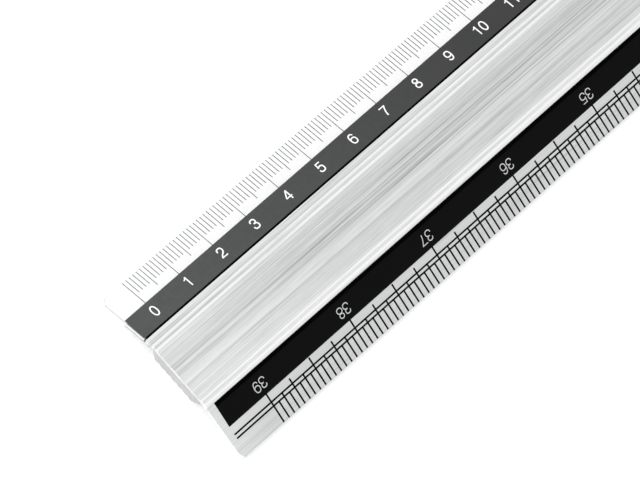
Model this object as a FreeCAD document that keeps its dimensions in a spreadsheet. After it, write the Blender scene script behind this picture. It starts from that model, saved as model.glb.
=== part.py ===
import FreeCAD, Part
import math
import os
import Sketcher

# Flat one-metre drawing ruler: a thin roof-shaped aluminium extrusion with two
# sloping scale facets, a clear acrylic strip let into the metric facet, and a
# ribbed anti-slip strip bonded under the centre plate.
#
# Frame: +X along the ruler from the metric zero end to the hundred end, +Y to
# the metric edge, +Z up. The origin is at the middle of the ruler, in the
# plane of the rib crests it rests on. All sizes are in millimetres.

doc = FreeCAD.newDocument("drawing_ruler")

# alias, value, meaning
SIZE_TABLE = [
    ("ruler_length", 1012.7, "overall length"),
    ("ruler_width", 42.0, "overall width, edge to edge"),
    ("facet_slope", 17.49, "slope of both scale facets, degrees"),
    ("metric_edge_top", 1.10, "height of the metric edge, upper corner"),
    ("inch_edge_top", 1.00, "height of the inch edge, upper corner"),
    ("plate_mid", 20.63, "middle of the centre plate, from the inch edge"),
    ("bend_half", 8.20, "middle of the plate to either bend"),
    ("wall_thick", 0.85, "wall of the extrusion"),
    ("bead_inner", 6.64, "middle of the plate to the inner guide beads"),
    ("bead_half", 0.40, "half width of a guide bead"),
    ("bead_rise", 0.20, "height of a guide bead above the plate"),
    ("strip_width", 11.78, "width of the clear strip, along the facet"),
    ("strip_thick", 1.00, "thickness of the clear strip"),
    ("strip_corner", 1.20, "corner chamfer of the clear strip"),
    ("seam_gap", 0.45, "open seam between the strip and the metal"),
    ("ledge_thick", 0.80, "ledge that carries the strip"),
    ("ledge_setback", 6.60, "metric edge to the ledge, along the facet"),
    ("strip_bond_thick", 0.10, "bonding film under the strip"),
    ("strip_bond_inset", 0.95, "that film short of the ruler's ends"),
    ("strip_bond_inner_gap", 0.02, "that film short of the seam's metal side"),
    ("strip_bond_outer_gap", 0.03, "that film short of the ledge's outer side"),
    ("insert_mid", 20.80, "middle of the anti-slip strip, from the inch edge"),
    ("insert_foot_half", 5.45, "half width of its ribbed foot"),
    ("insert_half", 6.95, "half width of its body"),
    ("insert_flare", 1.65, "height of its sloping lower sides"),
    ("insert_recess", 1.07, "anti-slip strip short of the ruler's ends"),
    ("insert_bond_thick", 0.20, "bonding film over the anti-slip strip"),
    ("insert_bond_half", 6.30, "half width of that film"),
    ("insert_bond_inset", 1.60, "that film short of the ruler's ends"),
    ("rib_pitch", 1.68, "spacing of the ribs on the foot"),
    ("rib_mid", 20.90, "middle of the rib pattern, from the inch edge"),
    ("flute_radius", 0.45, "radius of the flutes between the ribs"),
    ("flute_depth", 0.35, "depth of the flutes"),
    ("crest_round", 0.10, "rounding of the rib crests"),
    ("end_relief", 0.75, "relief of the inch facet at the metric zero end"),
]
RIB_COUNT = 7
FLUTE_COUNT = RIB_COUNT - 1

TOLERANCE = 1e-4  # for picking edges by their place
LEAST_CUT = 1.0  # cubic millimetres that any real cut removes


# ---------------------------------------------------------- driving sizes
class Size:
    """A number together with the expression that gives it."""

    def __init__(self, value, text):
        self.value, self.text = value, text

    @staticmethod
    def of(other):
        return other if isinstance(other, Size) else Size(other, repr(float(other)))

    def _with(self, other, sign, value):
        return Size(value, "(%s %s %s)" % (self.text, sign, Size.of(other).text))

    def __add__(self, other):
        return self._with(other, "+", self.value + Size.of(other).value)

    def __sub__(self, other):
        return self._with(other, "-", self.value - Size.of(other).value)

    def __mul__(self, other):
        return self._with(other, "*", self.value * Size.of(other).value)

    def __truediv__(self, other):
        return self._with(other, "/", self.value / Size.of(other).value)


class Sizes:
    """Puts the table in a spreadsheet; each alias becomes a Size attribute."""

    def __init__(self, table):
        sheet = doc.addObject("Spreadsheet::Sheet", "sizes")
        for row, (alias, value, meaning) in enumerate(table, start=1):
            sheet.set("A%d" % row, meaning)
            sheet.set("B%d" % row, str(value))
            sheet.setAlias("B%d" % row, alias)
            setattr(self, alias, Size(value, "sizes." + alias))
        doc.recompute()


def trig(name, angle):
    """sin, cos or tan of a Size that holds plain degrees."""
    value = getattr(math, name)(math.radians(angle.value))
    return Size(value, "%s(%s * 1 deg)" % (name, angle.text))


# ------------------------------------------------------- modelling helpers
def new_sketch(body, name, role):
    plane = [f for f in body.Origin.OriginFeatures if f.Role == role][0]
    sketch = body.newObject("Sketcher::SketchObject", name)
    sketch.AttachmentSupport = [(plane, "")]
    sketch.MapMode = "FlatFace"
    return sketch


def hold(sketch, kind, references, size):
    """Adds a driving constraint and ties it to the sheet."""
    index = sketch.addConstraint(Sketcher.Constraint(kind, *references, size.value))
    sketch.setExpression("Constraints[%d]" % index, size.text)


def pin_point(sketch, geometry, end, x, y):
    """Fixes one point of the sketch by its two distances from the origin."""
    for kind, size, axis in (("DistanceX", x, -2), ("DistanceY", y, -1)):
        if abs(size.value) < 1e-9:
            sketch.addConstraint(Sketcher.Constraint("PointOnObject", geometry, end, axis))
        else:
            hold(sketch, kind, (-1, 1, geometry, end), size)


def draw_outline(sketch, corners, domed=(), radius=None):
    """A closed outline. The side after each corner numbered in domed is an arc
    of the given radius that bulges to the left of its direction of travel."""
    points = [FreeCAD.Vector(x.value, y.value, 0) for x, y in corners]
    sides = []  # geometry, its start point, its end point
    for i, start in enumerate(points):
        end = points[(i + 1) % len(points)]
        if i in domed:
            chord = end - start
            drop = math.sqrt(max(radius.value**2 - (chord.Length / 2) ** 2, 0.0))
            left = FreeCAD.Vector(-chord.y, chord.x, 0).normalize()
            top = (start + end) * 0.5 + left * (radius.value - drop)
            # Drawn anticlockwise, so the arc itself starts at the end corner.
            sides.append((sketch.addGeometry(Part.Arc(end, top, start), False), 2, 1))
        else:
            sides.append((sketch.addGeometry(Part.LineSegment(start, end), False), 1, 2))
    for side, following in zip(sides, sides[1:] + sides[:1]):
        sketch.addConstraint(
            Sketcher.Constraint("Coincident", side[0], side[2], following[0], following[1])
        )
    for side, corner in zip(sides, corners):
        pin_point(sketch, side[0], side[1], *corner)
    for i in domed:
        hold(sketch, "Radius", (sides[i][0],), radius)


def rectangle(left, bottom, right, top):
    return [(left, bottom), (right, bottom), (right, top), (left, top)]


def extrude(label, sketch_name, corners, inset, domed=(), radius=None):
    """A body with its section padded along X, short of both ends by inset."""
    body = doc.addObject("PartDesign::Body", label)
    sketch = new_sketch(body, sketch_name, "YZ_Plane")
    draw_outline(sketch, corners, domed, radius)
    length = sizes.ruler_length - inset * 2.0
    pad = body.newObject("PartDesign::Pad", "length")
    pad.Profile = sketch
    pad.Length = length.value
    pad.setExpression("Length", length.text)
    sketch.Visibility = False
    doc.recompute()
    return body, pad


def cut_through(body, sketch, name):
    """Cuts the sketch right through; returns the pocket and the volume removed."""
    before = body.Shape.Volume
    pocket = body.newObject("PartDesign::Pocket", name)
    pocket.Profile = sketch
    pocket.Type = "ThroughAll"
    pocket.Midplane = True
    sketch.Visibility = False
    doc.recompute()
    removed = before - body.Shape.Volume
    if not removed > LEAST_CUT:
        raise SystemExit("%s cut nothing" % name)
    return pocket, removed


def find_edges(shape, matches, count, meaning):
    """Names of the edges whose two end points satisfy matches."""
    names = []
    for number, edge in enumerate(shape.Edges, start=1):
        ends = [vertex.Point for vertex in edge.Vertexes]
        if len(ends) == 2 and matches(*ends):
            names.append("Edge%d" % number)
    if len(names) != count:
        raise SystemExit("%s: found %d edges, not %d" % (meaning, len(names), count))
    return names


def near(first, second):
    return abs(first - second) < TOLERANCE


def place(body, inset, y, z, turn=None):
    """Starts a body at inset from the zero end, turned about +X by turn degrees."""
    x = inset - sizes.ruler_length / 2.0
    body.Placement = FreeCAD.Placement(
        FreeCAD.Vector(x.value, y.value, z.value),
        FreeCAD.Rotation(FreeCAD.Vector(1, 0, 0), turn.value if turn else 0),
    )
    body.setExpression("Placement.Base.x", x.text)
    body.setExpression("Placement.Base.y", y.text)
    body.setExpression("Placement.Base.z", z.text)
    if turn:
        body.setExpression("Placement.Rotation.Angle", turn.text)
    doc.recompute()


def place_from_inch_edge(body, inset):
    """For sections drawn from the inch edge and the rest plane."""
    place(body, inset, half_width * -1.0, zero)


def place_on_metric_facet(body, inset, from_edge, depth):
    """Lays a body in the facet's slope. Its section's origin goes at from_edge
    up the facet from the metric edge, and at depth below its face."""
    place(
        body,
        inset,
        half_width - from_edge * cos_slope - depth * sin_slope,
        sizes.metric_edge_top + from_edge * sin_slope - depth * cos_slope,
        sizes.facet_slope * -1.0,
    )


# -------------------------------------------------- shared derived sizes
sizes = Sizes(SIZE_TABLE)
zero = Size(0.0, "0")
half_width = sizes.ruler_width / 2.0
sin_slope = trig("sin", sizes.facet_slope)
cos_slope = trig("cos", sizes.facet_slope)
tan_slope = trig("tan", sizes.facet_slope)

# Places in the section: distances from the inch edge, heights above the rest plane.
bend_metric = sizes.plate_mid + sizes.bend_half
bend_inch = sizes.plate_mid - sizes.bend_half
metric_run = sizes.ruler_width - bend_metric
plate_top = sizes.metric_edge_top + metric_run * tan_slope
plate_under = plate_top - sizes.wall_thick
insert_top = plate_under - sizes.insert_bond_thick

# Along the metric facet from its edge, and below its face.
seam_from_edge = sizes.strip_width + sizes.seam_gap
seat_depth = sizes.strip_thick + sizes.strip_bond_thick


# --------------------------------------------------------------- extrusion
def on_metric_facet(along, depth):
    """A point along the metric facet from its bend, at a depth below its face."""
    return (
        bend_metric + along * cos_slope - depth * sin_slope,
        plate_top - along * sin_slope - depth * cos_slope,
    )


def roof_outline():
    """The section's corners, the numbers of its domed sides and their radius."""
    wall, bead_half, bead_rise = sizes.wall_thick, sizes.bead_half, sizes.bead_rise
    inch_under = sizes.inch_edge_top - wall / cos_slope
    corners = [
        (zero, inch_under),
        (zero, sizes.inch_edge_top),
        (bend_inch, sizes.inch_edge_top + bend_inch * tan_slope),
    ]

    # Domed guide beads. The outer two reach exactly to the bends, so their
    # outer ends are also the corners of the plate.
    bead_outer = sizes.bend_half - bead_half
    domed = []
    for middle in (
        sizes.plate_mid - bead_outer,
        sizes.plate_mid - sizes.bead_inner,
        sizes.plate_mid + sizes.bead_inner,
        sizes.plate_mid + bead_outer,
    ):
        domed.append(len(corners))
        corners += [(middle - bead_half, plate_top), (middle + bead_half, plate_top)]
    bead_radius = (bead_half * bead_half + bead_rise * bead_rise) / (bead_rise * 2.0)

    # Metric side: a short flat, the seat and ledge, then back along the underside.
    facet_length = metric_run / cos_slope
    flat_end = facet_length - seam_from_edge
    web = flat_end - wall
    ledge_end = facet_length - sizes.ledge_setback
    ledge_depth = seat_depth + sizes.ledge_thick
    half_bend = trig("tan", sizes.facet_slope / 2.0)
    corners += [
        on_metric_facet(flat_end, zero),
        on_metric_facet(flat_end, seat_depth),
        on_metric_facet(ledge_end, seat_depth),
        on_metric_facet(ledge_end, ledge_depth),
        on_metric_facet(web, ledge_depth),
        on_metric_facet(web, wall),
        (on_metric_facet(wall * half_bend, wall)[0], plate_under),
        ((plate_under - inch_under) / tan_slope, plate_under),
    ]
    return corners, domed, bead_radius


def make_profile():
    """One thin wall: inch facet, step, beaded centre plate and stepped ledge."""
    corners, domed, radius = roof_outline()
    body, _ = extrude("aluminium_profile", "roof_section", corners, zero, domed, radius)

    # A thin wedge off the zero end, widest at the inch edge and gone at the bend.
    plan = new_sketch(body, "relief_plan", "XY_Plane")
    draw_outline(plan, [(zero, zero), (sizes.end_relief, zero), (zero, bend_inch)])
    cut_through(body, plan, "end_relief_cut")
    place_from_inch_edge(body, zero)
    return body


# ------------------------------------------------------------- clear strip
def make_strip():
    """Flat bar in the metric facet, its corners at the free edge taken off."""
    width, thick = sizes.strip_width, sizes.strip_thick
    outline = rectangle(zero, zero, width, thick)
    body, pad = extrude("clear_scale_strip", "strip_section", outline, zero)

    def is_outer_corner(a, b):
        at_free_edge = near(a.y, width.value) and near(b.y, width.value)
        return at_free_edge and near(a.x, b.x) and near(abs(a.z - b.z), thick.value)

    edges = find_edges(pad.Shape, is_outer_corner, 2, "outer corners of the strip")
    chamfer = body.newObject("PartDesign::Chamfer", "corner_chamfer")
    chamfer.Base = (pad, edges)
    chamfer.Size = sizes.strip_corner.value
    chamfer.setExpression("Size", sizes.strip_corner.text)
    place_on_metric_facet(body, zero, width, thick)
    return body


def make_strip_film():
    """Film on the ledge, running on across the foot of the open seam."""
    inner_side = seam_from_edge - sizes.strip_bond_inner_gap
    outer_side = sizes.ledge_setback + sizes.strip_bond_outer_gap
    outline = rectangle(zero, zero, inner_side - outer_side, sizes.strip_bond_thick)
    inset = sizes.strip_bond_inset
    body, _ = extrude("strip_bonding_film", "film_section", outline, inset)
    place_on_metric_facet(body, inset, inner_side, seat_depth)
    return body


# --------------------------------------------------------- anti-slip strip
def cut_flutes(body):
    """One round-bottomed flute, repeated to leave the ribs."""
    radius = sizes.flute_radius
    sink = radius - sizes.flute_depth  # flute centre below the rest plane
    span = sizes.rib_pitch * (FLUTE_COUNT - 1)
    first = sizes.rib_mid - span / 2.0
    uncut = body.Shape.Volume

    sketch = new_sketch(body, "flute_section", "YZ_Plane")
    centre = FreeCAD.Vector(first.value, -sink.value, 0)
    ring = sketch.addGeometry(
        Part.Circle(centre, FreeCAD.Vector(0, 0, 1), radius.value), False
    )
    hold(sketch, "DistanceX", (-1, 1, ring, 3), first)
    hold(sketch, "DistanceY", (ring, 3, -1, 1), sink)
    hold(sketch, "Radius", (ring,), radius)
    pocket, one_flute = cut_through(body, sketch, "flute_cut")

    flutes = body.newObject("PartDesign::LinearPattern", "flutes")
    flutes.Originals = [pocket]
    flutes.Direction = (sketch, ["H_Axis"])
    flutes.Occurrences = FLUTE_COUNT
    flutes.Length = span.value
    flutes.setExpression("Length", span.text)
    body.Tip = flutes
    doc.recompute()
    if abs(uncut - body.Shape.Volume - FLUTE_COUNT * one_flute) > 0.05 * one_flute:
        raise SystemExit("the flutes did not repeat %d times" % FLUTE_COUNT)
    return flutes


def make_insert():
    """Strip with sloping lower sides and a ribbed foot."""
    middle, half = sizes.insert_mid, sizes.insert_half
    foot, flare = sizes.insert_foot_half, sizes.insert_flare
    outline = [
        (middle - foot, zero),
        (middle + foot, zero),
        (middle + half, flare),
        (middle + half, insert_top),
        (middle - half, insert_top),
        (middle - half, flare),
    ]
    inset = sizes.insert_recess
    body, _ = extrude("anti_slip_strip", "block_section", outline, inset)
    flutes = cut_flutes(body)

    def is_crest_side(a, b):
        return near(a.z, 0) and near(b.z, 0) and near(a.y, b.y)

    edges = find_edges(flutes.Shape, is_crest_side, 2 * RIB_COUNT, "rib crests")
    rounding = body.newObject("PartDesign::Fillet", "crest_rounding")
    rounding.Base = (flutes, edges)
    rounding.Radius = sizes.crest_round.value
    rounding.setExpression("Radius", sizes.crest_round.text)
    body.Tip = rounding
    place_from_inch_edge(body, inset)
    return body


def make_insert_film():
    """Film between the anti-slip strip and the underside of the plate."""
    middle, half = sizes.insert_mid, sizes.insert_bond_half
    outline = rectangle(middle - half, insert_top, middle + half, plate_under)
    inset = sizes.insert_bond_inset
    body, _ = extrude("anti_slip_bonding_film", "pad_section", outline, inset)
    place_from_inch_edge(body, inset)
    return body


# ------------------------------------------------------------------ export
bodies = [
    make_profile(),
    make_strip(),
    make_strip_film(),
    make_insert(),
    make_insert_film(),
]
for item in doc.Objects:
    if "Invalid" in item.State or "Error" in item.State:
        raise SystemExit("%s failed: %s" % (item.Label, item.State))
for body in bodies:
    shape = body.Shape
    if shape.isNull() or not shape.isValid() or len(shape.Solids) != 1:
        raise SystemExit("%s has no valid single solid" % body.Label)

os.makedirs("parts", exist_ok=True)
for body in bodies:
    body.Shape.exportStep("parts/%s.step" % body.Label)
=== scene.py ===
"""Looks of a one-metre drawing ruler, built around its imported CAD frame.

Metres, +X along the ruler from the metric zero end, +Y to the clear metric
edge, +Z up out of the printed face. The ruler is centred on X = Y = 0; its
near end is the -X one. Sizes inside the mesh helpers are millimetres, while
materials, lights and the stage are in metres.
"""

import math

import bpy
import numpy as np
from mathutils import Matrix, Vector, geometry


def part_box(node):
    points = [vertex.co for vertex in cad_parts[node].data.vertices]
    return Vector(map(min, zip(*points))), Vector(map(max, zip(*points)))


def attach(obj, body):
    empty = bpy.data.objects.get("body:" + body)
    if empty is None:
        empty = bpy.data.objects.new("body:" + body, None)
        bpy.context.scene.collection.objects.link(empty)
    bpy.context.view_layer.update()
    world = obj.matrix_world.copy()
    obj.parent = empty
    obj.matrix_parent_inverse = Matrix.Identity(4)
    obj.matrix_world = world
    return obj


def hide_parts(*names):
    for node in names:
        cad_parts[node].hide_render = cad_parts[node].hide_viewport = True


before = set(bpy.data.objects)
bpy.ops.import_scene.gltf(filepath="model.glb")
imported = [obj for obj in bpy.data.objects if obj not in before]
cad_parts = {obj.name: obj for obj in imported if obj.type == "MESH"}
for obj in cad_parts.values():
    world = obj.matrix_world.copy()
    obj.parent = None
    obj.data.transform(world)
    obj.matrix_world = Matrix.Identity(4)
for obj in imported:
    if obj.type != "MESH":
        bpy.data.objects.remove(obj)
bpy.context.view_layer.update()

MM = 0.001
UV = "OFBake"

# ----------------------------------------------------------------- sizes (mm)
# The section is a roof: a level centre plate between two sloping facets.
WIDTH, SLOPE = 42.0, math.radians(17.49)
SIN, COS, TAN = math.sin(SLOPE), math.cos(SLOPE), math.tan(SLOPE)
METRIC_TOP, INCH_TOP = 1.10, 1.00  # height of each facet's outer edge
WALL = 0.85
PLATE_MID, PLATE_HALF = 20.63, 8.20  # measured from the inch edge
METRIC_BEND, INCH_BEND = PLATE_MID + PLATE_HALF, PLATE_MID - PLATE_HALF
TOP = METRIC_TOP + (WIDTH - METRIC_BEND) * TAN
UNDER = TOP - WALL
FACET = (WIDTH - METRIC_BEND) / COS  # metric facet's length down its slope
CORNER = 1.50  # inch corners, rounded in plan
NEAR_RELIEF = 0.66  # how far the inch edge stands back at the near end
PROFILE_BEVEL, INSERT_BEVEL = 0.055, 0.06

BEAD_CENTRES = (-7.80, -6.64, 6.64, 7.80)  # from the middle of the plate
BEAD_HALF, BEAD_RISE = 0.4, 0.2

STRIP_W, STRIP_T, STRIP_CORNER, STRIP_BEVEL = 11.78, 1.00, 1.20, 0.12
SEAM = 0.45  # gap between the facet and the clear strip
SEAT, LEDGE_T, LEDGE_BACK = 1.10, 0.80, 6.60  # ledge under the clear strip

SWEEP_SPANS = 40
INK_LOW, INK_HIGH = -0.004, 0.012  # printed layer, from the facet's surface

profile_low, profile_high = (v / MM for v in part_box("aluminium_profile"))
strip_low, strip_high = (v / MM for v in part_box("clear_scale_strip"))
insert_low, insert_high = (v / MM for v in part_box("anti_slip_strip"))


# ------------------------------------------------------------- plane geometry
def signed_area(loop):
    """Twice the area of an outline, positive when it runs anticlockwise."""
    return sum(p[0] * q[1] - q[0] * p[1] for p, q in zip(loop, loop[1:] + loop[:1]))


def ccw(loop):
    return list(loop) if signed_area(loop) > 0 else list(reversed(loop))


def turn_at(before, point, after):
    into, away = (point - before), (after - point)
    return math.atan2(
        into[0] * away[1] - into[1] * away[0], into[0] * away[0] + into[1] * away[1]
    )


def left_of(direction):
    return np.array([-direction[1], direction[0]])


def mitre(into, away, least):
    """Offset to the left at a corner between two unit directions; least
    limits how far a sharp corner reaches out."""
    normal = left_of(into)
    middle = normal + left_of(away)
    return middle / max(np.dot(middle, normal), least)


def inset(loop, by):
    """The outline moved inwards by a small distance."""
    side = 1 if signed_area(loop) > 0 else -1
    out = []
    for i, point in enumerate(loop):
        into, away = point - loop[i - 1], loop[(i + 1) % len(loop)] - point
        into = into / max(np.linalg.norm(into), 1e-9)
        away = away / max(np.linalg.norm(away), 1e-9)
        out.append(point + side * by * mitre(into, away, 0.35))
    return out


def fill_loop(loop):
    """Triangles of one closed outline, as indices into it."""
    order = list(range(len(loop)))
    if signed_area(loop) < 0:
        order.reverse()
    coords = [Vector((loop[i][0], loop[i][1])) for i in order]
    _, _, faces, origins, _, covered = geometry.delaunay_2d_cdt(
        coords, [], [list(range(len(coords)))], 1, 1e-7, True
    )
    return [
        tuple(order[origins[i][0]] for i in face)
        for face, owners in zip(faces, covered)
        if owners
    ]


def overlay(polygons, tolerance):
    """Triangulates overlapping polygons together. Gives the points, the
    triangles and, for each triangle, which polygons cover it."""
    coords, faces = [], []
    for polygon in polygons:
        faces.append(list(range(len(coords), len(coords) + len(polygon))))
        coords += [Vector((x, y)) for x, y in ccw(polygon)]
    points, _, triangles, _, _, covered = geometry.delaunay_2d_cdt(
        coords, [], faces, 1, tolerance, True
    )
    return [(p.x, p.y) for p in points], triangles, covered


# ------------------------------------------------------------ section outlines
def rounded(corners, steps=4):
    """(y, z, radius) corners to a closed list of points, each corner an arc."""
    out = []
    points = [np.array(c[:2], float) for c in corners]
    for i, (_, _, wanted) in enumerate(corners):
        before, point, after = points[i - 1], points[i], points[(i + 1) % len(points)]
        turn = turn_at(before, point, after)
        if wanted <= 0 or abs(turn) < 1e-3:
            out.append(point)
            continue
        back, on = np.linalg.norm(before - point), np.linalg.norm(after - point)
        reach = min(wanted * math.tan(abs(turn) / 2), 0.45 * back, 0.45 * on)
        radius = reach / math.tan(abs(turn) / 2)
        start = point + (before - point) / back * reach
        side = 1 if turn > 0 else -1
        centre = start + side * radius * left_of((point - before) / back)
        first = math.atan2(*(start - centre)[::-1])
        for step in range(steps + 1):
            angle = first + turn * step / steps
            out.append(centre + radius * np.array([math.cos(angle), math.sin(angle)]))
    return out


def dome(start, end, height, rise, steps=12):
    """Corners of a low round bead on a flat, from y = start to y = end > start."""
    half = abs(end - start) / 2
    radius = (half * half + rise * rise) / (2 * rise)
    reach = math.asin(half / radius)
    angles = [-reach + 2 * reach * step / steps for step in range(steps + 1)]
    return [
        (
            (start + end) / 2 + radius * math.sin(angle),
            height + rise - radius * (1 - math.cos(angle)),
            0.0,
        )
        for angle in angles
    ]


def on_facet(along, depth):
    """(y, z) down the metric facet from its bend, and below its surface."""
    return (
        METRIC_BEND + along * COS - depth * SIN - WIDTH / 2,
        TOP - along * SIN - depth * COS,
    )


def profile_section():
    """The extrusion's roof shape, clockwise when seen from +X's far side."""
    flat = FACET - STRIP_W - SEAM
    web, end = flat - WALL, FACET - LEDGE_BACK
    edge = -WIDTH / 2
    # extra points on the inch facet, where its corners are rounded in plan
    turns = [CORNER * (1 - math.cos(math.radians(a))) for a in (36, 48, 60, 75, 90)]
    corners = [(edge + w, INCH_TOP - WALL / COS + w * TAN, 0.0) for w in turns[::-1]]
    corners += [(edge, INCH_TOP - WALL / COS, 0.10), (edge, INCH_TOP, 0.16)]
    corners += [(edge + w, INCH_TOP + w * TAN, 0.0) for w in turns]
    corners.append((edge + INCH_BEND, INCH_TOP + INCH_BEND * TAN, 0.03))
    for offset in BEAD_CENTRES:
        centre = PLATE_MID + offset - WIDTH / 2
        corners += dome(centre - BEAD_HALF, centre + BEAD_HALF, TOP, BEAD_RISE)
    corners += [
        (*on_facet(flat, 0), 0.07),
        (*on_facet(flat, SEAT), 0.04),
        (*on_facet(end, SEAT), 0.10),
        (*on_facet(end, SEAT + LEDGE_T), 0.10),
        (*on_facet(web, SEAT + LEDGE_T), 0.25),
        (*on_facet(web, WALL), 0.15),
        (on_facet(WALL * math.tan(SLOPE / 2), WALL)[0], UNDER, 0.40),
        ((UNDER - INCH_TOP + WALL / COS) / TAN - WIDTH / 2, UNDER, 0.60),
    ]
    return rounded(corners)


def insert_section():
    """The anti-slip strip: sloping lower sides and a foot of seven ribs."""
    middle, foot_half, half, flare = 20.80 - WIDTH / 2, 5.45, 6.95, 1.65
    top = UNDER - 0.20
    corners = [
        (middle - half, top, 0.12),
        (middle + half, top, 0.12),
        (middle + half, flare, 0.35),
        (middle + foot_half, 0.0, 0.12),
    ]
    # six round grooves part the ribs; their centres lie below the foot
    groove_mid, pitch, radius, sink = 20.90 - WIDTH / 2, 1.68, 0.45, 0.10
    reach = math.acos(sink / radius)
    half_mouth = radius * math.sin(reach)
    for groove in range(6):
        centre = groove_mid + pitch * (2.5 - groove)
        corners.append((centre + half_mouth, 0.0, 0.09))
        for step in range(1, 10):
            angle = reach * (1 - 2 * step / 10)
            corners.append(
                (centre + radius * math.sin(angle), radius * math.cos(angle) - sink, 0.0)
            )
        corners.append((centre - half_mouth, 0.0, 0.09))
    corners += [(middle - foot_half, 0.0, 0.12), (middle - half, flare, 0.35)]
    return rounded(corners)


# ---------------------------------------------------------------- mesh makers
def signed_volume(verts, faces):
    total = 0.0
    for face in faces:
        for i in range(1, len(face) - 1):
            total += np.dot(verts[face[0]], np.cross(verts[face[i]], verts[face[i + 1]]))
    return total


def edges_of(face):
    return [(face[i], face[(i + 1) % len(face)]) for i in range(len(face))]


def fit(value, low, high, start, size):
    """Maps low..high to start..start + size."""
    return start + size * (value - low) / (high - low)


def make_object(name, verts, faces, uvs, groups=None, smooth=None, sharp=None):
    """verts in millimetres; uvs holds one (u, v) per corner of each face."""
    verts = np.asarray(verts, float)
    if signed_volume(verts, faces) < 0:
        faces = [tuple(reversed(face)) for face in faces]
        uvs = [list(reversed(corners)) for corners in uvs]
    mesh = bpy.data.meshes.new(name)
    mesh.from_pydata((verts * MM).tolist(), [], faces)
    layer = mesh.uv_layers.new(name=UV)
    flat_uvs = np.array([corner for corners in uvs for corner in corners], np.float32)
    layer.data.foreach_set("uv", flat_uvs.ravel())
    if groups is not None:
        mesh.polygons.foreach_set("material_index", groups)
    if smooth is not None:
        mesh.polygons.foreach_set("use_smooth", smooth)
    if sharp is not None:
        wanted = {tuple(sorted(edge)) for edge in sharp}
        for edge in mesh.edges:
            if tuple(sorted(edge.vertices)) in wanted:
                edge.use_edge_sharp = True
    mesh.update()
    ob = bpy.data.objects.new(name, mesh)
    bpy.context.scene.collection.objects.link(ob)
    return ob


def match_caps(faces, uvs, first_cap):
    """Turns the caps over if they run along a shared edge the same way as
    the sides do."""
    cap_edges = {edge for face in faces[first_cap:] for edge in edges_of(face)}
    if (faces[0][0], faces[0][1]) in cap_edges:
        for i in range(first_cap, len(faces)):
            faces[i] = tuple(reversed(faces[i]))
            uvs[i] = list(reversed(uvs[i]))


def sweep(name, section, near, far, bevel):
    """A bar of one section along X with a small bevel round both end faces.
    near and far give the end's x for each y."""
    loop = [np.array(p, float) for p in section]
    small = inset(loop, bevel)
    count = len(loop)
    rows = [[(near(p[0]), q[0], q[1]) for p, q in zip(loop, small)]]
    for span in range(SWEEP_SPANS + 1):
        share = span / SWEEP_SPANS
        rows.append(
            [
                (
                    near(p[0]) + bevel + (far(p[0]) - near(p[0]) - 2 * bevel) * share,
                    p[0],
                    p[1],
                )
                for p in loop
            ]
        )
    rows.append([(far(p[0]), q[0], q[1]) for p, q in zip(loop, small)])
    verts = [vert for row in rows for vert in row]
    last = len(rows) - 1

    # sides: u along the bar, v round the section
    run = [0.0]
    for i in range(count):
        run.append(run[-1] + float(np.linalg.norm(loop[(i + 1) % count] - loop[i])))
    x_low, x_high = min(v[0] for v in verts), max(v[0] for v in verts)

    def side_uv(vert, station):
        return (
            fit(verts[vert][0], x_low, x_high, 0.03, 0.94),
            0.01 + 0.98 * run[station] / run[-1],
        )

    faces, uvs, smooth = [], [], []
    for j in range(last):
        for i in range(count):
            k = (i + 1) % count
            face = (j * count + i, j * count + k, (j + 1) * count + k, (j + 1) * count + i)
            faces.append(face)
            stations = (i, i + 1, i + 1, i)
            uvs.append([side_uv(vert, at) for vert, at in zip(face, stations)])
            smooth.append(0 < j < last - 1)

    # caps: narrow bands at either side of the map
    ys, zs = [p[0] for p in loop], [p[1] for p in loop]
    triangles = fill_loop([tuple(p) for p in small])
    for row, reverse, band in ((0, True, 0.0), (last, False, 0.974)):
        for triangle in triangles:
            face = tuple(
                row * count + i for i in (reversed(triangle) if reverse else triangle)
            )
            faces.append(face)
            uvs.append(
                [
                    (
                        fit(verts[i][2], min(zs), max(zs), 0.002, 0.022) + band,
                        fit(verts[i][1], min(ys), max(ys), 0.02, 0.96),
                    )
                    for i in face
                ]
            )
            smooth.append(False)
    match_caps(faces, uvs, len(faces) - 2 * len(triangles))

    # sharp along the flats and hard corners, and round both bevels
    sharp = set()
    for i in range(count):
        k = (i + 1) % count
        before, point, after = loop[i - 1], loop[i], loop[k]
        longest = max(np.linalg.norm(point - before), np.linalg.norm(after - point))
        if longest > 0.25 or abs(turn_at(before, point, after)) > math.radians(25):
            for j in range(last):
                sharp.add((j * count + i, (j + 1) * count + i))
        for j in (0, 1, last - 1, last):
            sharp.add((j * count + i, j * count + k))
    return make_object(name, verts, faces, uvs, None, smooth, sharp)


# -------------------------------------------------------------------- numerals
# Plain sans-serif numerals drawn as strokes. 1000 units to the em.
CAP, ADVANCE = 703.0, 556.0  # height of a straight stem, step between numerals


def curve(start, *segments, steps=9):
    """A polyline through cubic segments (control, control, end, as x and y
    in turn) or to straight ends (x, y)."""
    points = [np.array(start, float)]
    for segment in segments:
        if len(segment) == 2:
            points.append(np.array(segment, float))
            continue
        begin = points[-1]
        leave, arrive, end = (np.array(segment[i:i + 2], float) for i in (0, 2, 4))
        for step in range(1, steps + 1):
            t = step / steps
            points.append(
                (1 - t) ** 3 * begin + 3 * (1 - t) ** 2 * t * leave
                + 3 * (1 - t) * t * t * arrive + t ** 3 * end
            )
    return points


def oval(centre_x, centre_y, radius_x, radius_y, power=2.2, steps=44):
    """A superellipse; a higher power is squarer."""
    out = []
    for step in range(steps):
        angle = 2 * math.pi * step / steps
        cosine, sine = math.cos(angle), math.sin(angle)
        out.append(
            np.array([
                centre_x + radius_x * math.copysign(abs(cosine) ** (2 / power), cosine),
                centre_y + radius_y * math.copysign(abs(sine) ** (2 / power), sine),
            ])
        )
    return out


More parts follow.
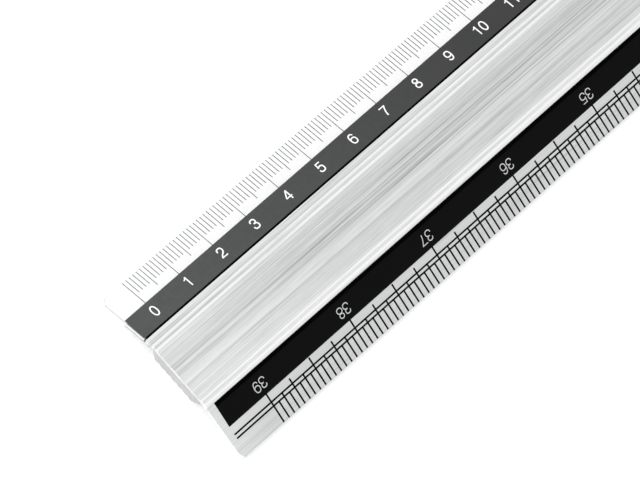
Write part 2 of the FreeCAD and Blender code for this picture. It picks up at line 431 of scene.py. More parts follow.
def stroke(path, width, closed=False):
    """A polyline as a chain of quadrilaterals."""
    count = len(path)
    left, right = [], []
    for i, point in enumerate(path):
        before = path[i - 1] if (closed or i > 0) else point
        after = path[(i + 1) % count] if (closed or i < count - 1) else point
        into, away = point - before, after - point
        if np.linalg.norm(into) < 1e-9:
            into = away
        if np.linalg.norm(away) < 1e-9:
            away = into
        into, away = into / np.linalg.norm(into), away / np.linalg.norm(away)
        offset = mitre(into, away, 0.3)
        left.append(point + offset * width / 2)
        right.append(point - offset * width / 2)
    return [
        [left[i], right[i], right[(i + 1) % count], left[(i + 1) % count]]
        for i in range(count if closed else count - 1)
    ]


def numeral_shapes(stem):
    """Overlapping polygons of ten numerals whose stems are stem units wide."""
    half, level = stem / 2, stem * 0.86  # half a stem, and a level stroke's width
    top, foot = 709 - level / 2, -23 + level / 2  # middles of the round ends
    six_left, six_right = 38 + half, 518 - half
    six = stroke(
        curve(
            (455, 545),
            (432, 622, 372, top, 285, top),
            (150, top, six_left, 560, six_left, 320),
            (six_left, 120, 140, foot, 283, foot),
            (412, foot, six_right, 85, six_right, 222),
            (six_right, 360, 412, 455 - level / 2, 292, 455 - level / 2),
            (190, 455 - level / 2, 110, 400, six_left, 262),
        ),
        stem * 0.96,
    )
    return {
        "0": stroke(oval(275, 343, 232 - half, 366 - level / 2), stem, True),
        "1": [
            [(359 - stem, 0), (359, 0), (359, 703), (359 - stem, 703)],
            *stroke(
                curve((101, 545), (205, 548, 262, 600, 359 - stem * 0.62, 703)),
                stem * 0.74,
            ),
        ],
        "2": [
            *stroke(
                curve(
                    (46 + half, 470),
                    (46 + half, 610, 140, top, 275, top),
                    (405, top, 500 - half, 620, 500 - half, 508),
                    (500 - half, 415, 440, 355, 330, 282),
                    (205, 200, 100, 150, 36 + half, 20),
                ),
                stem,
            ),
            [(28, 0), (507, 0), (507, level), (28, level)],
        ],
        "3": [
            *stroke(
                curve(
                    (46 + half, 505),
                    (56 + half, 625, 150, top, 268, top),
                    (385, top, 492 - half, 640, 492 - half, 530),
                    (492 - half, 430, 410, 378, 270, 378),
                ),
                stem,
            ),
            *stroke(
                curve(
                    (222, 378),
                    (400, 382, 520 - half, 320, 520 - half, 195),
                    (520 - half, 65, 410, foot, 275, foot),
                    (140, foot, 40 + half, 60, 32 + half, 205),
                ),
                stem,
            ),
        ],
        "4": [
            [(440 - stem, 0), (440, 0), (440, 703), (440 - stem, 703)],
            [(25, 165), (523, 165), (523, 165 + level), (25, 165 + level)],
            [(25, 165 + level), (25 + stem * 1.12, 165 + level),
             (440 - stem * 0.35, 640), (440 - stem * 0.2, 703), (440 - stem, 703)],
        ],
        "5": [
            [(112, 688 - level), (482, 688 - level), (482, 688), (112, 688)],
            *stroke(curve((112 + half * 0.9, 688), (60 + half * 1.1, 322)), stem * 0.92),
            *stroke(
                curve(
                    (72 + half * 0.6, 330),
                    (130, 415, 195, 452 - level / 2, 275, 452 - level / 2),
                    (412, 452 - level / 2, 514 - half, 360, 514 - half, 222),
                    (514 - half, 75, 405, foot, 262, foot),
                    (135, foot, 45 + half, 55, 32 + half, 185),
                ),
                stem,
            ),
        ],
        "6": six,
        "7": [
            [(37, 688 - level), (523, 688 - level), (523, 688), (37, 688)],
            *stroke(
                curve(
                    (518 - half * 0.9, 688 - level / 2),
                    (360, 470, 230, 260, 178 + half, 0),
                ),
                stem,
            ),
        ],
        "8": [
            *stroke(oval(277, 530, 207 - half, 179 - level / 2, 2.1), stem * 0.96, True),
            *stroke(oval(277, 180, 240 - half, 203 - level / 2, 2.15), stem * 0.98, True),
        ],
        # a six turned half round
        "9": [[(556 - x, 686 - y) for x, y in quad] for quad in six],
    }


def is_corner(before, point, after):
    """Whether a point of an outline bends it enough to be kept."""
    cross = abs(
        (point[0] - before[0]) * (after[1] - point[1])
        - (point[1] - before[1]) * (after[0] - point[0])
    )
    back, on = math.dist(before, point), math.dist(point, after)
    return cross > 0.02 * (back * on) or ((back > 60 or on > 60) and cross > 1.0)


def outlines(polygons):
    """The union of overlapping polygons, as outer loops and hole loops."""
    points, triangles, covered = overlay(polygons, 1e-3)
    edges = {
        edge
        for triangle, owners in zip(triangles, covered)
        if owners
        for edge in edges_of(triangle)
    }
    onward = {}
    for start, end in edges:
        if (end, start) not in edges:
            onward.setdefault(start, []).append(end)
    outer, holes = [], []
    while onward:
        start = min(onward)
        loop, here = [start], start
        while True:
            following = onward[here].pop()
            if not onward[here]:
                del onward[here]
            if following == start:
                break
            loop.append(following)
            here = following
        path = [points[i] for i in loop]
        kept = [
            point
            for i, point in enumerate(path)
            if is_corner(path[i - 1], point, path[(i + 1) % len(path)])
        ]
        (outer if signed_area(kept) > 0 else holes).append(kept)
    return outer, holes


def numeral_outlines(stem):
    return {digit: outlines(shape) for digit, shape in numeral_shapes(stem).items()}


def number_loops(text, numerals, height, middle_u, middle_v, flip):
    """Labelled loops of a number in the facet's plane. flip reads from the
    other side of the ruler."""
    scale = height / CAP
    loops = []
    for i, digit in enumerate(text):
        shift = (i - len(text) / 2) * ADVANCE
        for kind, group in zip(("digit", "hole"), numerals[digit]):
            for loop in group:
                points = []
                for x, y in loop:
                    across, down = (x + shift) * scale, (CAP / 2 - y) * scale
                    u = middle_u - across if flip else middle_u + across
                    points.append((u, middle_v + down))
                loops.append((kind, points))
    return loops


# -------------------------------------------------------------- printed scales
# In a facet's plane, u runs along X and v inwards from its outer edge.
class Sheet:
    """A thin printed layer gathered from flat triangles, closed into a slab."""

    def __init__(self):
        self.index, self.points, self.faces = {}, [], []

    def add(self, points, triangle):
        face = []
        for i in triangle:
            key = (round(points[i][0], 4), round(points[i][1], 4))
            if key not in self.index:
                self.index[key] = len(self.points)
                self.points.append(key)
            if self.index[key] not in face:
                face.append(self.index[key])
        if len(face) > 2:
            self.faces.append(tuple(face))

    def build(self, name, place):
        count = len(self.points)
        verts = [place(u, v, height) for height in (INK_HIGH, INK_LOW) for u, v in self.points]
        us, vs = zip(*self.points)
        u_low, u_high, v_low, v_high = min(us), max(us), min(vs), max(vs)
        corner_uvs = [
            (fit(u, u_low, u_high, 0.002, 0.996), fit(v, v_low, v_high, 0.002, 0.996))
            for u, v in self.points
        ] * 2
        faces = list(self.faces)
        faces += [tuple(i + count for i in reversed(face)) for face in self.faces]
        edges = {edge for face in self.faces for edge in edges_of(face)}
        for start, end in sorted(edges):
            if (end, start) not in edges:
                faces.append((end, start, start + count, end + count))
        return make_object(name, verts, faces, [[corner_uvs[i] for i in f] for f in faces])


def print_shapes(shapes, ink, numbers=None):
    """Adds labelled shapes to the ink, and the digits in them to numbers;
    with no such sheet the digits stay bare."""
    points, triangles, covered = overlay([loop for _, loop in shapes], 1e-5)
    for triangle, owners in zip(triangles, covered):
        labels = [shapes[i][0] for i in owners]
        if labels.count("digit") > labels.count("hole"):
            if numbers is not None:
                numbers.add(points, triangle)
        elif "ink" in labels:
            ink.add(points, triangle)


def box_loop(u_low, u_high, v_low, v_high):
    return [(u_low, v_low), (u_high, v_low), (u_high, v_high), (u_low, v_high)]


def rule_loop(u_low, u_high, v, width, round_low, round_high):
    """A line along the ruler, with round ends where wanted."""
    half = width / 2
    if not (round_low or round_high):
        return box_loop(u_low, u_high, v - half, v + half)
    arc = [
        (half * (1 - math.cos(angle)), half * math.sin(angle))
        for angle in np.linspace(-math.pi / 2, math.pi / 2, 9)
    ]
    low_end = [(u_low, v + half), (u_low, v - half)]
    high_end = [(u_high, v - half), (u_high, v + half)]
    if round_low:
        low_end = [(u_low + back, v - rise) for back, rise in arc]
    if round_high:
        high_end = [(u_high - back, v + rise) for back, rise in arc]
    return low_end + high_end


def metric_place(u, v, height):
    """A place over the metric facet; height stands square to it."""
    return (
        u,
        WIDTH / 2 - v * COS + height * SIN,
        METRIC_TOP + v * SIN + height * COS,
    )


def inch_place(u, v, height):
    """A place over the inch facet; height stands square to it."""
    return (
        u,
        -WIDTH / 2 + v * COS - height * SIN,
        INCH_TOP + v * SIN + height * COS,
    )


def metric_scale(tick, stem, height):
    """0 to 100 cm: hair ticks every millimetre and a band with numbers."""
    ink, white = Sheet(), Sheet()
    numerals = numeral_outlines(stem)
    tick_start, unit_end = 0.09, 3.85
    long_ends = {0: 6.40, 5: 5.10}  # by millimetres from the centimetre
    band_start, band_end, number_mid = 6.32, STRIP_W - 0.02, 8.79
    zero, band_reach = -500.0, 506.15
    for cm in range(101):
        x = zero + 10 * cm
        u_low = -band_reach if cm == 0 else x - 4.5
        u_high = band_reach if cm == 100 else x + 5.5
        shapes = [("ink", box_loop(u_low, u_high, band_start, band_end))]
        for mm in range(-4, 6):
            if (cm == 0 and mm < 0) or (cm == 100 and mm > 0):
                continue
            at = x + mm
            end = long_ends.get(abs(mm), unit_end)
            shapes.append(("ink", box_loop(at - tick / 2, at + tick / 2, tick_start, end)))
        shapes += number_loops(str(cm), numerals, height, x, number_mid, False)
        print_shapes(shapes, ink, white)
    return (
        ink.build("metric_scale_print", metric_place),
        white.build("metric_number_print", metric_place),
    )


def inch_scale(tick, line, stem, height):
    """39 down to 0 in: a black band with the numbers left as bare metal."""
    ink = Sheet()
    numerals = numeral_outlines(stem)
    band_start, band_end, number_mid = 6.91, 12.74, 9.26
    lines = low_line, high_line = 4.085, 5.00
    tick_start = 0.12
    # tick ends by how many sixteenths they mark, longest first
    tick_ends = ((8, 6.77), (4, 6.25), (2, high_line), (1, low_line))
    zero, inch, number_shift = 497.32, 25.4, -0.06
    pitch = inch / 16
    band_low, band_high = -504.325, 504.35
    line_low, line_high = -504.35, 504.40
    for number in range(39, -1, -1):
        x = zero - inch * number
        first, last = number == 39, number == 0
        cell_low, cell_high = x - 8.5 * pitch, x + 7.5 * pitch
        shapes = [
            (
                "ink",
                box_loop(
                    band_low if first else cell_low,
                    band_high if last else cell_high,
                    band_start,
                    band_end,
                ),
            )
        ]
        for v in lines:
            u_low = line_low if first else cell_low
            u_high = line_high if last else cell_high
            shapes.append(("ink", rule_loop(u_low, u_high, v, line, first, last)))
        for k in range(-8, 8):
            if (first and k < 0) or (last and k > 0):
                continue
            at = x + k * pitch
            if k == 0:
                end = band_start + 0.05
            else:
                end = next(far for step, far in tick_ends if k % step == 0)
            shapes.append(("ink", box_loop(at - tick / 2, at + tick / 2, tick_start, end)))
        shapes += number_loops(
            str(number), numerals, height, x + number_shift, number_mid, True
        )
        print_shapes(shapes, ink)
    return ink.build("inch_scale_print", inch_place)


# ------------------------------------------------------------------ clear strip
POLISHED, UPPER_EDGE, SAWN, SHADED_SEAM = range(4)  # its material groups


def clear_strip():
    """The acrylic bar with broken edges: polished faces, an upper broken edge
    painted grey, sawn sides, and a side by the seam painted near-black as
    the shade in the gap there."""
    x_low, x_high = strip_low.x, strip_high.x
    corner, clean, bevel = STRIP_CORNER, 0.35, STRIP_BEVEL
    loop = [
        np.array(p, float)
        for p in (
            (x_low, STRIP_W),
            (x_low, corner),
            (x_low + corner, 0.0),
            (x_high - corner, 0.0),
            (x_high, corner),
            (x_high, STRIP_W),
            (x_high - clean, STRIP_W),
            (x_low + clean, STRIP_W),
        )
    ]
    # long sides are divided, so that no face is a sliver one metre long
    dense = []
    for i, start in enumerate(loop):
        end = loop[(i + 1) % len(loop)]
        steps = max(1, int(round(np.linalg.norm(end - start) / 25.3)))
        dense += [start + (end - start) * k / steps for k in range(steps)]
    count = len(dense)
    small = inset(dense, bevel)
    levels = (
        (small, 0.0),
        (dense, -bevel),
        (dense, -STRIP_T + bevel),
        (small, -STRIP_T),
    )
    verts = [metric_place(p[0], p[1], height) for row, height in levels for p in row]
    faces, uvs, groups = [], [], []

    def strip_uv(vert, start, size):
        """u along the strip, v across it within a band of the map."""
        row, at = divmod(vert, count)
        point = levels[row][0][at]
        return (
            0.002 + 0.996 * ((point[0] - x_low) / (x_high - x_low)),
            start + size * (point[1] / STRIP_W),
        )

    for row in range(3):
        for i in range(count):
            k = (i + 1) % count
            face = (
                row * count + i, row * count + k,
                (row + 1) * count + k, (row + 1) * count + i,
            )
            faces.append(face)
            uvs.append([strip_uv(j, 0.80 + 0.05 * (j // count), 0.04) for j in face])
            # the side by the seam gets painted shade, near-black
            by_seam = min(dense[i][1], dense[k][1]) > STRIP_W - 1e-6
            if by_seam and abs(dense[i][0] - dense[k][0]) > 2 * clean:
                groups.append(SHADED_SEAM)
            else:
                groups.append(SAWN if row else UPPER_EDGE)
    for row, band in ((0, 0.0), (3, 0.40)):
        for triangle in fill_loop([tuple(p) for p in levels[row][0]]):
            face = tuple(row * count + i for i in triangle)
            if row == 3:
                face = tuple(reversed(face))
            faces.append(face)
            uvs.append([strip_uv(j, band + 0.005, 0.38) for j in face])
            groups.append(POLISHED)
    match_caps(faces, uvs, 3 * count)
    return make_object("scale_strip_clear", verts, faces, uvs, groups)


# -------------------------------------------------------------------- materials
class Shader:
    """Small helper for building the nodes of a material or world."""

    def __init__(self, owner, output="OutputMaterial"):
        self.owner = owner
        owner.use_nodes = True
        self.tree = owner.node_tree
        self.tree.nodes.clear()
        self.out = self.node(output)

    def node(self, kind, inputs=None, **settings):
        made = self.tree.nodes.new("ShaderNode" + kind)
        for key, value in settings.items():
            setattr(made, key, value)
        for key, value in (inputs or {}).items():
            if isinstance(value, bpy.types.NodeSocket):
                self.tree.links.new(value, made.inputs[key])
            else:
                made.inputs[key].default_value = value
        return made

    def maths(self, operation, first, second=0.0, clamp=False):
        return self.node(
            "Math", {0: first, 1: second}, operation=operation, use_clamp=clamp
        ).outputs[0]

    def add(self, first, second):
        return self.maths("ADD", first, second)

    def times(self, first, second):
        return self.maths("MULTIPLY", first, second)

    def where(self, scale):
        """Object coordinates in metres, stretched by a vector."""
        coords = self.node("TexCoord").outputs["Object"]
        return self.node("Mapping", {"Vector": coords, "Scale": scale}).outputs[0]

    def position(self):
        """X, Y and Z outputs of the object coordinates."""
        return self.node("SeparateXYZ", {"Vector": self.where((1, 1, 1))}).outputs

    def noise(self, grain, detail=3.0, rough=0.55):
        """Noise between about 0 and 1; grain is in cells per metre."""
        inputs = {
            "Vector": self.where(grain), "Scale": 1.0, "Detail": detail, "Roughness": rough,
        }
        return self.node("TexNoise", inputs).outputs["Fac"]

    def remap(self, value, to, over=(0.3, 0.7), smooth=False):
        """Maps the range over to the range to; noise mostly fills 0.3 to 0.7."""
        made = self.node(
            "MapRange",
            {"Value": value, "From Min": over[0], "From Max": over[1],
             "To Min": to[0], "To Max": to[1]},
            interpolation_type="SMOOTHSTEP" if smooth else "LINEAR",
        )
        return made.outputs["Result"]

    def ramp(self, value, stops):
        """Greys from (place, level) stops."""
        made = self.node("ValToRGB", {"Fac": value})
        elements = made.color_ramp.elements
        while len(elements) < len(stops):
            elements.new(0.5)
        for element, (at, level) in zip(elements, stops):
            element.position = at
            element.color = (level, level, level, 1.0)
        return made.outputs["Color"]

    def tinted(self, value, red=None, green=None, blue=None):
        """A colour whose channels are the value, each times its gain if any."""
        channels = {
            name: value if gain is None else self.times(value, gain)
            for name, gain in (("Red", red), ("Green", green), ("Blue", blue))
        }
        return self.node("CombineColor", channels).outputs["Color"]

    def bump(self, height, distance, strength):
        inputs = {"Height": height, "Distance": distance, "Strength": strength}
        return self.node("Bump", inputs).outputs["Normal"]

    def principled(self, inputs):
        return self.node("BsdfPrincipled", inputs).outputs[0]

    def surface(self, socket):
        self.tree.links.new(socket, self.out.inputs["Surface"])
        return self.owner


def new_shader(name):
    return Shader(bpy.data.materials.new(name))


# (mm from the inch edge, level) of the die lines across the centre plate
PLATE_LINES = [
    (14.0, 0.52), (15.3, 0.56), (15.75, 0.44), (16.6, 0.50), (17.6, 0.47),
    (18.08, 0.46), (18.23, 0.29), (18.38, 0.47), (18.8, 0.58), (19.6, 0.59),
    (20.4, 0.48), (20.95, 0.41), (21.12, 0.24), (21.36, 0.44), (21.8, 0.53),
    (22.42, 0.29), (22.62, 0.50), (22.95, 0.28), (23.12, 0.53), (24.2, 0.44),
    (25.2, 0.43), (26.2, 0.52), (27.7, 0.56),
]
# Y of the first and last die line stops, in metres, and the width in mm
PLATE_Y, PLATE_SPAN = (-0.0070, 0.0067), 13.7
# (share of SIDE_Y, level) of the base tone across the whole section: painted light
# and shade, with a painted highlight over the inch side's outer bead and painted
# shade between the metric beads and at the metric bend
SIDE_Y = (-0.0090, 0.0096)
SECTION_SHADING_TONES = [
    (0.0, 0.50), (0.010, 0.50), (0.020, 0.78), (0.055, 0.74), (0.0655, 0.67),
    (0.068, 0.61), (0.0835, 0.52), (0.086, 0.55), (0.095, 0.50), (0.840, 0.50),
    (0.8435, 0.455), (0.8605, 0.455), (0.864, 0.50), (0.888, 0.50), (0.900, 0.32),
    (0.914, 0.32), (0.926, 0.46), (0.935, 0.42), (0.960, 0.52), (0.985, 0.55),
    (1.0, 0.51),
]
# (noise, level) of scattered scores: a dark one round 0.5, a light one at 0.66
SCORES = [
    (0.0, 0.5), (0.455, 0.5), (0.480, 0.30), (0.50, 0.14), (0.520, 0.32),
    (0.545, 0.5), (0.62, 0.5), (0.66, 0.68), (0.70, 0.5),
]


def die_lines(shader, place):
    """Fixed lines along the centre plate, fading in and out along it, and painted light that
    leaves the plate a little lighter by its near end.
    """
    wander = shader.remap(
        shader.noise((7.0, 40.0, 40.0), detail=2.0, rough=0.5), to=(-0.00006, 0.00006)
    )
    across = shader.remap(shader.add(place["Y"], wander), over=PLATE_Y, to=(0.0, 1.0))
    stops = [((mm - WIDTH / 2 + 7.0) / PLATE_SPAN, level) for mm, level in PLATE_LINES]
    plate = shader.ramp(across, stops)
    fade = shader.remap(
        shader.noise((14.0, 1500.0, 1500.0), detail=2.0, rough=0.6),
        over=(0.3, 0.72), to=(0.55, 1.25),
    )
    plate_on = shader.times(
        shader.remap(place["Z"], over=(0.00520, 0.00524), to=(0.0, 1.0)),
        shader.remap(
            shader.maths("ABSOLUTE", place["Y"]), over=(0.0064, 0.0067), to=(1.0, 0.0)
        ),
    )
    # painted light: the plate is lighter over its first 14 mm from the near end, fading to
    # 0.06 darker by 44 mm
    near_end_light = shader.remap(place["X"], over=(-0.492, -0.462), to=(0.0, -0.06))
    faded = shader.times(shader.maths("SUBTRACT", plate, 0.48), fade)
    return shader.times(shader.add(faded, near_end_light), plate_on)


def brushed_aluminium():
    """Clear-anodised extrusion: fine lines along its length, a few stronger
    die lines on the centre plate, faint cloudiness in the anodising. Painted
    light too: highlights on the bead crests and by the inch facet's near corner,
    light and shade across the section, and a plate lighter by its near end."""
    shader = new_shader("brushed_aluminium")
    broad = shader.noise((1.6, 900.0, 900.0), detail=2.0, rough=0.5)
    lines = shader.noise((9.0, 3600.0, 3600.0), detail=4.0, rough=0.62)
    hair = shader.noise((55.0, 14000.0, 14000.0), detail=2.0, rough=0.6)
    cloud = shader.noise((35.0, 60.0, 60.0), detail=3.0, rough=0.5)
    strokes = shader.noise((170.0, 5600.0, 5600.0), detail=2.0, rough=0.6)
    place = shader.position()
    die_gain = 1.05
    value = shader.add(
        shader.add(
            shader.remap(broad, to=(-0.045, 0.045)),
            shader.remap(lines, over=(0.25, 0.75), to=(-0.085, 0.085)),
        ),
        shader.add(
            shader.remap(hair, to=(-0.03, 0.03)),
            shader.add(
                shader.remap(cloud, to=(-0.012, 0.012)),
                shader.times(die_lines(shader, place), die_gain),
            ),
        ),
    )
    scored = shader.ramp(
        shader.noise((6.0, 1300.0, 1300.0), detail=1.0, rough=0.5), SCORES
    )
    scored = shader.times(
        shader.maths("SUBTRACT", scored, 0.5),
        shader.remap(
            shader.noise((22.0, 700.0, 700.0), detail=2.0, rough=0.5),
            over=(0.42, 0.62), to=(0.0, 0.75),
        ),
    )
    marks = shader.add(
        shader.add(value, scored), shader.remap(strokes, to=(-0.06, 0.06))
    )

    # the inch facet is the smoothest, and gets a painted highlight by its near corner
    facet = shader.remap(place["Y"], over=(-0.0095, -0.0090), to=(1.0, 0.0))
    calm = shader.remap(facet, over=(0.0, 1.0), to=(1.0, 0.55))
    near_corner_highlight = shader.times(
        facet, shader.remap(place["X"], over=(-0.5065, -0.4960), to=(0.11, 0.0))
    )
    # the beads' crests get a painted highlight too
    crest_highlight = shader.remap(place["Z"], over=(0.00524, 0.00532), to=(0.0, 0.20), smooth=True)
    # painted light and shade across the section, from the tone table above
    side = shader.ramp(shader.remap(place["Y"], over=SIDE_Y, to=(0.0, 1.0)), SECTION_SHADING_TONES)
    base_level = 0.287
    level = shader.add(
        shader.add(shader.times(marks, calm), near_corner_highlight),
        shader.add(shader.add(crest_highlight, side), base_level),
    )
    rough = shader.add(
        shader.remap(lines, over=(0.25, 0.75), to=(0.30, 0.40)),
        shader.remap(cloud, to=(-0.02, 0.03)),
    )
    lines_share, hair_share = 0.6, 0.4  # of the relief
    height = shader.add(shader.times(lines, lines_share), shader.times(hair, hair_share))
    return shader.surface(shader.principled({
        "Base Color": shader.tinted(level, red=0.985, blue=0.992),
        "Metallic": 1.0,
        "Roughness": rough,
        "Normal": shader.bump(height, distance=0.000010, strength=0.5),
    }))


# part: (darkest and lightest body grey, least and most share of the body
# that shows instead of what lies behind)
ACRYLIC_PARTS = {
    "face": ((0.80, 0.90), (0.012, 0.022)),
    # painted shade: the upper broken edge a darker grey, as the outline a clear edge shows
    "edge": ((0.30, 0.36), (0.55, 0.66)),
    "side": ((0.70, 0.78), (0.86, 0.95)),
    # painted shade: the side by the seam, near-black like the gap beside it
    "seam": ((0.006, 0.012), (0.96, 0.99)),
}


def clear_acrylic(part):
    """Clear acrylic: a glossy skin over something one sees straight through.
    Its broken edges are painted a darker grey as the outline a clear edge
    shows, its sawn sides frosted, its seam side painted near-black as shade."""
    (low, high), body_share = ACRYLIC_PARTS[part]
    if part == "face":
        tint, roughness = (0.99, 0.99, 0.99, 1), (0.05, 0.09)
    else:
        tint, roughness = (0.84, 0.86, 0.865, 1), (0.30, 0.42)
    index = 1.49
    shader = new_shader("clear_acrylic_" + part)
    haze = shader.noise((60.0, 260.0, 260.0), detail=3.0, rough=0.55)
    scratch = shader.noise((30.0, 5200.0, 5200.0), detail=2.0, rough=0.5)
    clear = shader.node("BsdfTransparent", {"Color": tint}).outputs[0]
    # sockets 0, 6 and 7 are the factor and the two colours
    colour = shader.node(
        "Mix",
        {
            0: haze,
            6: (low, low * 1.02, low * 1.025, 1),
            7: (high, high * 1.01, high * 1.01, 1),
        },
        data_type="RGBA",
    ).outputs[2]
    body = shader.principled({
        "Base Color": colour,
        "Roughness": shader.remap(haze, to=roughness),
        "IOR": index,
        "Normal": shader.bump(scratch, distance=0.000004, strength=0.25),
    })
    facing = shader.node("Fresnel", {"IOR": index}).outputs[0]
    back = shader.node("NewGeometry").outputs["Backfacing"]
    front = shader.maths("SUBTRACT", 1.0, back)
    base = shader.remap(haze, to=body_share)
    share = shader.times(shader.maths("ADD", facing, base, clamp=True), front)
    mix = shader.node("MixShader", {0: share, 1: clear, 2: body})
    return shader.surface(mix.outputs[0])


def print_ink(name, level, gloss, rough, spread=0.1, inner_shade_y=None, ends=None):
    """Screen-printed ink: a level colour with a fine mottle and soft sheen.
    heavy is the range of Y, in metres, over which painted shade darkens the ink
    and dulls its sheen; ends scales its colour at the near end and from 100 mm
    along, a painted reflection that leaves the ink lighter at the near end."""
    shader = new_shader(name)
    mottle = shader.noise((900.0, 900.0, 900.0), detail=3.0, rough=0.6)
    cloud = shader.noise((45.0, 160.0, 160.0), detail=2.0, rough=0.5)
    tone = shader.add(
        shader.remap(mottle, to=(1 - spread, 1 + spread)),
        shader.remap(cloud, to=(-spread / 2, spread / 2)),
    )
    sheen = gloss
    # painted reflection: the colour is scaled up at the near end and down from 100 mm along
    if ends:
        along = shader.remap(shader.position()["X"], over=(-0.5, -0.4), to=ends)
        tone = shader.times(tone, along)
    # painted shade: the ink darker and duller towards the bead
    if inner_shade_y:
        thin = shader.remap(shader.position()["Y"], over=inner_shade_y, to=(1.0, 0.25))
        tone = shader.times(tone, thin)
        sheen = shader.times(thin, gloss)
    red, green, blue = level
    return shader.surface(shader.principled({
        "Base Color": shader.tinted(tone, red=red, green=green, blue=blue),
        "Roughness": shader.remap(mottle, to=(rough * 0.85, rough * 1.15)),
        "Specular IOR Level": sheen,
        "Normal": shader.bump(mottle, distance=0.000006, strength=0.3),
    }))


def grey_rubber():
    """Matt light grey moulded strip with a fine dusty grain."""
    shader = new_shader("grey_rubber")
    grain = shader.noise((5200.0, 5200.0, 5200.0), detail=4.0, rough=0.65)
    patch = shader.noise((240.0, 420.0, 420.0), detail=3.0, rough=0.55)
    drag = shader.noise((40.0, 3000.0, 3000.0), detail=3.0, rough=0.55)
    tone = shader.add(
        shader.remap(grain, over=(0.25, 0.75), to=(-0.05, 0.05)),
        shader.add(
            shader.remap(patch, to=(0.47, 0.54)), shader.remap(drag, to=(-0.02, 0.02))
        ),
    )
    return shader.surface(shader.principled({
        "Base Color": shader.tinted(tone, green=1.005, blue=1.0),
        "Roughness": shader.remap(patch, to=(0.72, 0.86)),
        "Specular IOR Level": 0.35,
        "Normal": shader.bump(grain, distance=0.00004, strength=0.6),
    }))


def bonding_film():
    """Black double-sided film, dull, with a slight pebble."""
    shader = new_shader("black_film")
    pebble = shader.noise((2600.0, 2600.0, 2600.0), detail=3.0, rough=0.6)
    return shader.surface(shader.principled({
        "Base Color": shader.ramp(pebble, [(0.3, 0.004), (0.7, 0.010)]),
        "Roughness": shader.remap(pebble, to=(0.6, 0.8)),
        "Specular IOR Level": 0.15,
        "Normal": shader.bump(pebble, distance=0.00002, strength=0.4),
    }))


aluminium = brushed_aluminium()
acrylic = [clear_acrylic(part) for part in ACRYLIC_PARTS]  # in group order
film_finish = bonding_film()
rubber = grey_rubber()
# its ends give a painted reflection, the band lighter at the near end
metric_ink = print_ink(
    "metric_ink", level=(0.030, 0.032, 0.031), gloss=0.5, rough=0.16, ends=(1.65, 0.48)
)
# painted shade along the inch band's inner edge, by the bead
inch_ink = print_ink(
    "inch_ink", level=(0.0030, 0.0030, 0.0031), gloss=0.05, rough=0.55,
    inner_shade_y=(-0.0099, -0.0096),
)
white_ink = print_ink(
    "white_ink", level=(0.90, 0.90, 0.89), gloss=0.5, rough=0.25, spread=0.02
)


def finish_with(ob, *materials):
    # clearing would also reset the faces' groups, so only where there is a need
    if len(ob.data.materials):
        ob.data.materials.clear()
    for material in materials:
        ob.data.materials.append(material)


# ------------------------------------------------------------------- the pieces
def corner_cut(inward):
    """How far the inch edge's rounded corner stands back, at a distance
    inward from that edge."""
    reach = max(0.0, CORNER - inward)
    return CORNER - math.sqrt(max(0.0, CORNER * CORNER - reach * reach))


def profile_near(y):
    inward = y + WIDTH / 2
    relief = NEAR_RELIEF * (INCH_BEND - inward) / INCH_BEND if inward < INCH_BEND else 0.0
    return profile_low.x + relief + corner_cut(inward)


def profile_far(y):
    return profile_high.x - corner_cut(y + WIDTH / 2)


profile = sweep(
    "ruler_profile", profile_section(), profile_near, profile_far, PROFILE_BEVEL
)
finish_with(profile, aluminium)
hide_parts("aluminium_profile")

insert = sweep(
    "anti_slip_insert",
    insert_section(),
    lambda y: insert_low.x,
    lambda y: insert_high.x,
    INSERT_BEVEL,
)
finish_with(insert, rubber)
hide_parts("anti_slip_strip")

strip = clear_strip()
finish_with(strip, *acrylic)
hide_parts("clear_scale_strip")

metric_print, metric_numbers = metric_scale(tick=0.165, stem=90.0, height=2.39)
finish_with(metric_print, metric_ink)
finish_with(metric_numbers, white_ink)
inch_print = inch_scale(tick=0.41, line=0.38, stem=66.0, height=2.29)
finish_with(inch_print, inch_ink)

for ob in (profile, insert, strip, metric_print, metric_numbers, inch_print):
    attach(ob, "root")

for name in ("strip_bonding_film", "anti_slip_bonding_film"):
    finish_with(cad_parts[name], film_finish)


# ------------------------------------------------------------------ stage (m)
def make_floor():
    """A wide, nearly white floor that glows a little."""
    reach = 90.0
    mesh = bpy.data.meshes.new("floor")
    corners = [(-reach, -reach, 0), (reach, -reach, 0), (reach, reach, 0), (-reach, reach, 0)]
    mesh.from_pydata(corners, [], [(0, 1, 2, 3)])
    ob = bpy.data.objects.new("floor", mesh)
    bpy.context.scene.collection.objects.link(ob)
    shader = new_shader("studio_floor")
    fine = shader.noise((30.0, 30.0, 30.0), detail=2.0, rough=0.5)
    diffuse = shader.node(
        "BsdfDiffuse", {"Color": shader.ramp(fine, [(0.3, 0.86), (0.7, 0.88)])}
    )
    glow = shader.node("Emission", {"Color": (1, 1, 1, 1), "Strength": 0.25})
    both = shader.node("AddShader", {0: diffuse.outputs[0], 1: glow.outputs[0]})
    ob.data.materials.append(shader.surface(both.outputs[0]))


WORLD_BASE = 0.80
# direction, cosines to it where the lobe starts and is full, strength added
WORLD_LOBES = [
    ((0.45, -0.75, 0.55), (0.55, 0.98), -0.02),
    ((0.45, 0.75, 0.60), (0.60, 0.98), 0.12),
]


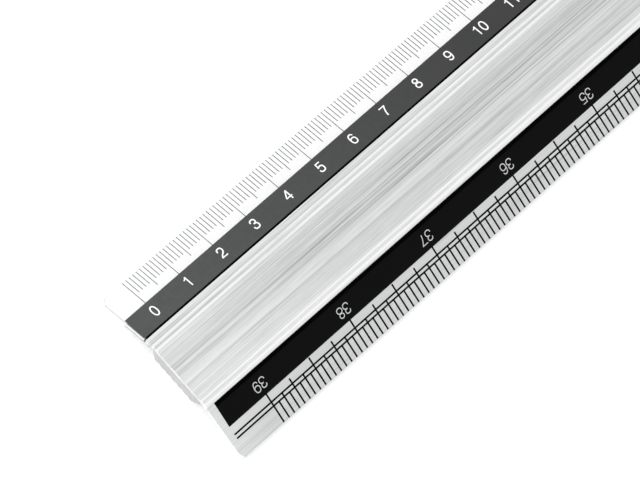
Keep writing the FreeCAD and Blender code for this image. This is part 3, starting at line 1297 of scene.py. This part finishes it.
def make_world():
    """An even white surround with soft lobes added in some directions."""
    world = bpy.data.worlds.new("studio")
    bpy.context.scene.world = world
    shader = Shader(world, output="OutputWorld")
    looking = shader.node("TexCoord").outputs["Generated"]
    total = WORLD_BASE
    for direction, cosines, gain in WORLD_LOBES:
        cosine = shader.node(
            "VectorMath",
            {0: looking, 1: Vector(direction).normalized()},
            operation="DOT_PRODUCT",
        ).outputs["Value"]
        lobe = shader.remap(cosine, over=cosines, to=(0.0, 1.0), smooth=True)
        total = shader.add(shader.times(lobe, gain), total)
    back = shader.node("Background", {"Color": (1.0, 1.0, 1.0, 1.0), "Strength": total})
    shader.surface(back.outputs[0])


def soft_light(name, location, aim, size, energy, mirrored=True):
    """A soft box, out of the camera's sight; mirrored is whether it glares."""
    data = bpy.data.lights.new(name, "AREA")
    data.shape = "RECTANGLE"
    data.size, data.size_y = size
    data.energy = energy
    ob = bpy.data.objects.new(name, data)
    bpy.context.scene.collection.objects.link(ob)
    ob.location = location
    ob.rotation_mode = "QUATERNION"
    ob.rotation_quaternion = (Vector(aim) - Vector(location)).to_track_quat("-Z", "Y")
    ob.visible_camera = False
    ob.visible_glossy = mirrored


make_floor()
make_world()
soft_light(
    "key", location=(-3.3, 2.75, 2.9), aim=(-0.2, 0.0, 0.0), size=(2.6, 2.6),
    energy=125.0, mirrored=False,
)
soft_light(
    "near", location=(-0.40, 0.05, 0.60), aim=(-0.42, 0.0, 0.0), size=(0.60, 1.10),
    energy=0.35,
)


# --------------------------------------------------------------------- camera
def make_camera():
    """A long lens, looking from above the near end. Its place follows from
    where it sees the metric zero mark, a point on the metric facet."""
    pitch, roll, twist = (
        math.radians(a) for a in (29.539909, -41.192831, -0.560823)
    )
    # the mark in camera axes (right, down, ahead), mm
    mark_seen = np.array([-38.679581, 8.961297, 1382.899917])
    # and on the ruler, by its distance in along a facet of this slope
    mark_slope, mark_in = math.radians(17.487819), 0.837
    mark = np.array([
        -500.0,
        WIDTH - mark_in * math.cos(mark_slope) - WIDTH / 2,
        METRIC_TOP + mark_in * math.sin(mark_slope),
    ])

    # the ruler's X, Y and Z directions in camera axes
    rolled = np.array([math.cos(roll), math.sin(roll), 0.0])
    square = np.array([-math.sin(roll), math.cos(roll), 0.0])
    forward = np.array([0.0, 0.0, 1.0])
    along = math.cos(pitch) * rolled + math.sin(pitch) * forward
    tilted = -math.sin(pitch) * rolled + math.cos(pitch) * forward
    across = -(math.cos(twist) * square + math.sin(twist) * tilted)
    upward = math.sin(twist) * square - math.cos(twist) * tilted
    to_ruler = np.stack([along, across, upward])
    centre = mark - to_ruler @ mark_seen
    right, down, ahead = to_ruler.T
    pose = Matrix.Identity(4)
    for i in range(3):
        pose[i][0], pose[i][1], pose[i][2] = right[i], -down[i], -ahead[i]
        pose[i][3] = centre[i] * MM

    data = bpy.data.cameras.new("camera")
    data.sensor_width = 36.0
    data.sensor_fit = "HORIZONTAL"
    data.lens = 393.22905766875
    data.shift_x, data.shift_y = -0.00078125, 0.00078125
    data.clip_start, data.clip_end = 0.05, 300.0
    camera = bpy.data.objects.new("camera", data)
    bpy.context.scene.collection.objects.link(camera)
    camera.matrix_world = pose
    bpy.context.scene.camera = camera


make_camera()

scene = bpy.context.scene
scene.view_settings.view_transform = "Standard"
scene.view_settings.look = "None"
scene.view_settings.exposure = 0.0
scene.cycles.max_bounces = 12
scene.cycles.transparent_max_bounces = 16
scene.cycles.transmission_bounces = 12
